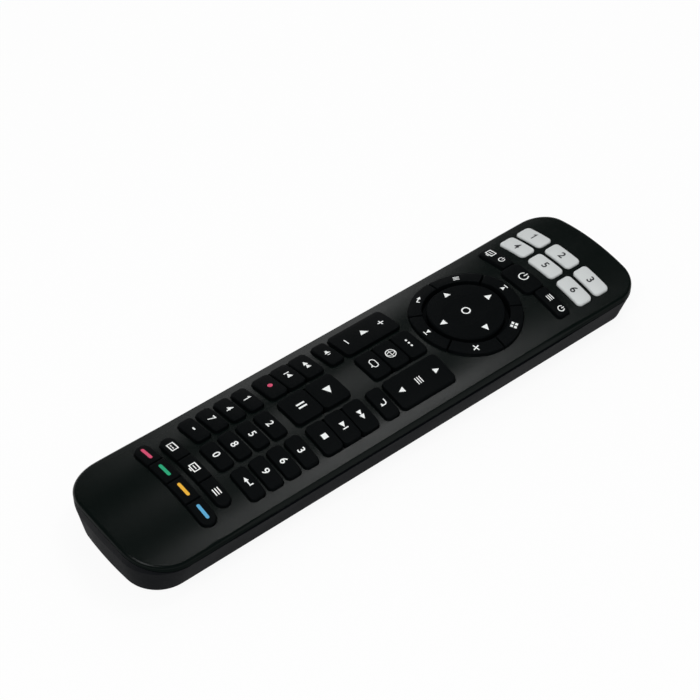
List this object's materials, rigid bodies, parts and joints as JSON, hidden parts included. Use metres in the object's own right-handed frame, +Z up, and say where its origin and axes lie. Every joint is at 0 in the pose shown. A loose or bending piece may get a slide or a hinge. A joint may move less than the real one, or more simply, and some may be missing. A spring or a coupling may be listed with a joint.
{
  "type": "soundbar remote control",
  "caption": "Slim handheld infrared remote control with an arched face, press keys, two rockers, a round cursor pad and a battery door that slides off underneath.",
  "frame": {"origin": "centre of the flat underside, midway along and across the case", "axes": "+Y towards the infrared end, +X to the right-hand side seen from above, +Z up out of the keys"},
  "size_m": [0.055, 0.2232, 0.0203],
  "materials": {
    "case_top": "satin black",
    "case_bottom": "fine texture, near black",
    "key_black": "soft black",
    "key_white": "pale grey",
    "window": "polished dark",
    "mat": "silicone",
    "board": "solder mask",
    "emitter": "clear epoxy",
    "contact": "nickel plated",
    "cell": "printed sleeve",
    "print_white": "printed ink",
    "print_dark": "printed ink",
    "print_red": "printed ink",
    "print_green": "printed ink",
    "print_amber": "printed ink",
    "print_blue": "printed ink"
  },
  "bodies": {
    "case": {"bottom_case": "case_bottom", "top_case": "case_top", "ir_window": "window", "keypad_mat": "mat", "circuit_board": "board", "ir_emitters": "emitter", "contact_bridge": "contact", "contact_pair": "contact", "battery_cells": "cell"},
    "battery_door": {"battery_door": "case_bottom"},
    "nav_disc": {"nav_disc": "key_black"},
    "volume_rocker": {"volume_rocker": "key_black"},
    "channel_rocker": {"channel_rocker": "key_black"},
    "source_key_1": {"source_key_1": "key_white"},
    "source_key_2": {"source_key_2": "key_white"},
    "power_key": {"power_key": "key_black"},
    "input_key": {"input_key": "key_black"},
    "source_power_key": {"source_power_key": "key_black"},
    "ring_key_top": {"ring_key_top": "key_black"},
    "ring_key_upper_left": {"ring_key_upper_left": "key_black"},
    "ring_key_lower_left": {"ring_key_lower_left": "key_black"},
    "ring_key_bottom": {"ring_key_bottom": "key_black"},
    "ring_key_lower_right": {"ring_key_lower_right": "key_black"},
    "ring_key_upper_right": {"ring_key_upper_right": "key_black"},
    "option_key_upper": {"option_key_upper": "key_black"},
    "option_key_middle": {"option_key_middle": "key_black"},
    "option_key_lower": {"option_key_lower": "key_black"},
    "mute_key": {"mute_key": "key_black"},
    "return_key": {"return_key": "key_black"},
    "rewind_key": {"rewind_key": "key_black"},
    "skip_back_key": {"skip_back_key": "key_black"},
    "record_key": {"record_key": "key_black"},
    "play_key": {"play_key": "key_black"},
    "pause_key": {"pause_key": "key_black"},
    "fast_forward_key": {"fast_forward_key": "key_black"},
    "skip_forward_key": {"skip_forward_key": "key_black"},
    "stop_key": {"stop_key": "key_black"},
    "key_1": {"key_1": "key_black"},
    "key_2": {"key_2": "key_black"},
    "key_3": {"key_3": "key_black"},
    "key_4": {"key_4": "key_black"},
    "key_5": {"key_5": "key_black"},
    "key_6": {"key_6": "key_black"},
    "key_7": {"key_7": "key_black"},
    "key_8": {"key_8": "key_black"},
    "key_9": {"key_9": "key_black"},
    "key_dash": {"key_dash": "key_black"},
    "key_0": {"key_0": "key_black"},
    "key_enter": {"key_enter": "key_black"},
    "caption_key": {"caption_key": "key_black"},
    "display_key": {"display_key": "key_black"},
    "list_key": {"list_key": "key_black"},
    "red_key": {"red_key": "key_black"},
    "green_key": {"green_key": "key_black"},
    "yellow_key": {"yellow_key": "key_black"},
    "blue_key": {"blue_key": "key_black"},
    "source_key_3": {"source_key_3": "key_white"},
    "source_key_4": {"source_key_4": "key_white"},
    "source_key_5": {"source_key_5": "key_white"},
    "source_key_6": {"source_key_6": "key_white"}
  },
  "joints": [
    {"name": "battery_door_slide", "type": "slide", "parent": "case", "child": "battery_door", "axis": [0, -1, 0], "range_m": [0, 0.058]},
    {"name": "nav_disc_press", "type": "slide", "parent": "case", "child": "nav_disc", "axis": [0, 0, -1], "range_m": [0, 0.0006], "stiffness_N_per_m": 1200},
    {"name": "volume_rocker_tilt", "type": "hinge", "parent": "case", "child": "volume_rocker", "pos_m": [-0.01535, 0.012, 0.0166], "axis": [1, 0, 0], "range_deg": [-3, 3], "stiffness_Nm_per_rad": 0.16},
    {"name": "channel_rocker_tilt", "type": "hinge", "parent": "case", "child": "channel_rocker", "pos_m": [0.01535, 0.012, 0.0166], "axis": [1, 0, 0], "range_deg": [-3, 3], "stiffness_Nm_per_rad": 0.16},
    {"name": "source_key_1_press", "type": "slide", "parent": "case", "child": "source_key_1", "axis": [0, 0, -1], "range_m": [0, 0.0008], "stiffness_N_per_m": 800},
    {"name": "source_key_2_press", "type": "slide", "parent": "case", "child": "source_key_2", "axis": [0, 0, -1], "range_m": [0, 0.0008], "stiffness_N_per_m": 800},
    {"name": "power_key_press", "type": "slide", "parent": "case", "child": "power_key", "axis": [0, 0, -1], "range_m": [0, 0.0008], "stiffness_N_per_m": 800},
    {"name": "input_key_press", "type": "slide", "parent": "case", "child": "input_key", "axis": [0, 0, -1], "range_m": [0, 0.0008], "stiffness_N_per_m": 800},
    {"name": "source_power_key_press", "type": "slide", "parent": "case", "child": "source_power_key", "axis": [0, 0, -1], "range_m": [0, 0.0008], "stiffness_N_per_m": 800},
    {"name": "ring_key_top_press", "type": "slide", "parent": "case", "child": "ring_key_top", "axis": [0, 0, -1], "range_m": [0, 0.0008], "stiffness_N_per_m": 800},
    {"name": "ring_key_upper_left_press", "type": "slide", "parent": "case", "child": "ring_key_upper_left", "axis": [0, 0, -1], "range_m": [0, 0.0008], "stiffness_N_per_m": 800},
    {"name": "ring_key_lower_left_press", "type": "slide", "parent": "case", "child": "ring_key_lower_left", "axis": [0, 0, -1], "range_m": [0, 0.0008], "stiffness_N_per_m": 800},
    {"name": "ring_key_bottom_press", "type": "slide", "parent": "case", "child": "ring_key_bottom", "axis": [0, 0, -1], "range_m": [0, 0.0008], "stiffness_N_per_m": 800},
    {"name": "ring_key_lower_right_press", "type": "slide", "parent": "case", "child": "ring_key_lower_right", "axis": [0, 0, -1], "range_m": [0, 0.0008], "stiffness_N_per_m": 800},
    {"name": "ring_key_upper_right_press", "type": "slide", "parent": "case", "child": "ring_key_upper_right", "axis": [0, 0, -1], "range_m": [0, 0.0008], "stiffness_N_per_m": 800},
    {"name": "option_key_upper_press", "type": "slide", "parent": "case", "child": "option_key_upper", "axis": [0, 0, -1], "range_m": [0, 0.0008], "stiffness_N_per_m": 800},
    {"name": "option_key_middle_press", "type": "slide", "parent": "case", "child": "option_key_middle", "axis": [0, 0, -1], "range_m": [0, 0.0008], "stiffness_N_per_m": 800},
    {"name": "option_key_lower_press", "type": "slide", "parent": "case", "child": "option_key_lower", "axis": [0, 0, -1], "range_m": [0, 0.0008], "stiffness_N_per_m": 800},
    {"name": "mute_key_press", "type": "slide", "parent": "case", "child": "mute_key", "axis": [0, 0, -1], "range_m": [0, 0.0008], "stiffness_N_per_m": 800},
    {"name": "return_key_press", "type": "slide", "parent": "case", "child": "return_key", "axis": [0, 0, -1], "range_m": [0, 0.0008], "stiffness_N_per_m": 800},
    {"name": "rewind_key_press", "type": "slide", "parent": "case", "child": "rewind_key", "axis": [0, 0, -1], "range_m": [0, 0.0008], "stiffness_N_per_m": 800},
    {"name": "skip_back_key_press", "type": "slide", "parent": "case", "child": "skip_back_key", "axis": [0, 0, -1], "range_m": [0, 0.0008], "stiffness_N_per_m": 800},
    {"name": "record_key_press", "type": "slide", "parent": "case", "child": "record_key", "axis": [0, 0, -1], "range_m": [0, 0.0008], "stiffness_N_per_m": 800},
    {"name": "play_key_press", "type": "slide", "parent": "case", "child": "play_key", "axis": [0, 0, -1], "range_m": [0, 0.0008], "stiffness_N_per_m": 800},
    {"name": "pause_key_press", "type": "slide", "parent": "case", "child": "pause_key", "axis": [0, 0, -1], "range_m": [0, 0.0008], "stiffness_N_per_m": 800},
    {"name": "fast_forward_key_press", "type": "slide", "parent": "case", "child": "fast_forward_key", "axis": [0, 0, -1], "range_m": [0, 0.0008], "stiffness_N_per_m": 800},
    {"name": "skip_forward_key_press", "type": "slide", "parent": "case", "child": "skip_forward_key", "axis": [0, 0, -1], "range_m": [0, 0.0008], "stiffness_N_per_m": 800},
    {"name": "stop_key_press", "type": "slide", "parent": "case", "child": "stop_key", "axis": [0, 0, -1], "range_m": [0, 0.0008], "stiffness_N_per_m": 800},
    {"name": "key_1_press", "type": "slide", "parent": "case", "child": "key_1", "axis": [0, 0, -1], "range_m": [0, 0.0008], "stiffness_N_per_m": 800},
    {"name": "key_2_press", "type": "slide", "parent": "case", "child": "key_2", "axis": [0, 0, -1], "range_m": [0, 0.0008], "stiffness_N_per_m": 800},
    {"name": "key_3_press", "type": "slide", "parent": "case", "child": "key_3", "axis": [0, 0, -1], "range_m": [0, 0.0008], "stiffness_N_per_m": 800},
    {"name": "key_4_press", "type": "slide", "parent": "case", "child": "key_4", "axis": [0, 0, -1], "range_m": [0, 0.0008], "stiffness_N_per_m": 800},
    {"name": "key_5_press", "type": "slide", "parent": "case", "child": "key_5", "axis": [0, 0, -1], "range_m": [0, 0.0008], "stiffness_N_per_m": 800},
    {"name": "key_6_press", "type": "slide", "parent": "case", "child": "key_6", "axis": [0, 0, -1], "range_m": [0, 0.0008], "stiffness_N_per_m": 800},
    {"name": "key_7_press", "type": "slide", "parent": "case", "child": "key_7", "axis": [0, 0, -1], "range_m": [0, 0.0008], "stiffness_N_per_m": 800},
    {"name": "key_8_press", "type": "slide", "parent": "case", "child": "key_8", "axis": [0, 0, -1], "range_m": [0, 0.0008], "stiffness_N_per_m": 800},
    {"name": "key_9_press", "type": "slide", "parent": "case", "child": "key_9", "axis": [0, 0, -1], "range_m": [0, 0.0008], "stiffness_N_per_m": 800},
    {"name": "key_dash_press", "type": "slide", "parent": "case", "child": "key_dash", "axis": [0, 0, -1], "range_m": [0, 0.0008], "stiffness_N_per_m": 800},
    {"name": "key_0_press", "type": "slide", "parent": "case", "child": "key_0", "axis": [0, 0, -1], "range_m": [0, 0.0008], "stiffness_N_per_m": 800},
    {"name": "key_enter_press", "type": "slide", "parent": "case", "child": "key_enter", "axis": [0, 0, -1], "range_m": [0, 0.0008], "stiffness_N_per_m": 800},
    {"name": "caption_key_press", "type": "slide", "parent": "case", "child": "caption_key", "axis": [0, 0, -1], "range_m": [0, 0.0008], "stiffness_N_per_m": 800},
    {"name": "display_key_press", "type": "slide", "parent": "case", "child": "display_key", "axis": [0, 0, -1], "range_m": [0, 0.0008], "stiffness_N_per_m": 800},
    {"name": "list_key_press", "type": "slide", "parent": "case", "child": "list_key", "axis": [0, 0, -1], "range_m": [0, 0.0008], "stiffness_N_per_m": 800},
    {"name": "red_key_press", "type": "slide", "parent": "case", "child": "red_key", "axis": [0, 0, -1], "range_m": [0, 0.0008], "stiffness_N_per_m": 800},
    {"name": "green_key_press", "type": "slide", "parent": "case", "child": "green_key", "axis": [0, 0, -1], "range_m": [0, 0.0008], "stiffness_N_per_m": 800},
    {"name": "yellow_key_press", "type": "slide", "parent": "case", "child": "yellow_key", "axis": [0, 0, -1], "range_m": [0, 0.0008], "stiffness_N_per_m": 800},
    {"name": "blue_key_press", "type": "slide", "parent": "case", "child": "blue_key", "axis": [0, 0, -1], "range_m": [0, 0.0008], "stiffness_N_per_m": 800},
    {"name": "source_key_3_press", "type": "slide", "parent": "case", "child": "source_key_3", "axis": [0, 0, -1], "range_m": [0, 0.0008], "stiffness_N_per_m": 800},
    {"name": "source_key_4_press", "type": "slide", "parent": "case", "child": "source_key_4", "axis": [0, 0, -1], "range_m": [0, 0.0008], "stiffness_N_per_m": 800},
    {"name": "source_key_5_press", "type": "slide", "parent": "case", "child": "source_key_5", "axis": [0, 0, -1], "range_m": [0, 0.0008], "stiffness_N_per_m": 800},
    {"name": "source_key_6_press", "type": "slide", "parent": "case", "child": "source_key_6", "axis": [0, 0, -1], "range_m": [0, 0.0008], "stiffness_N_per_m": 800}
  ]
}
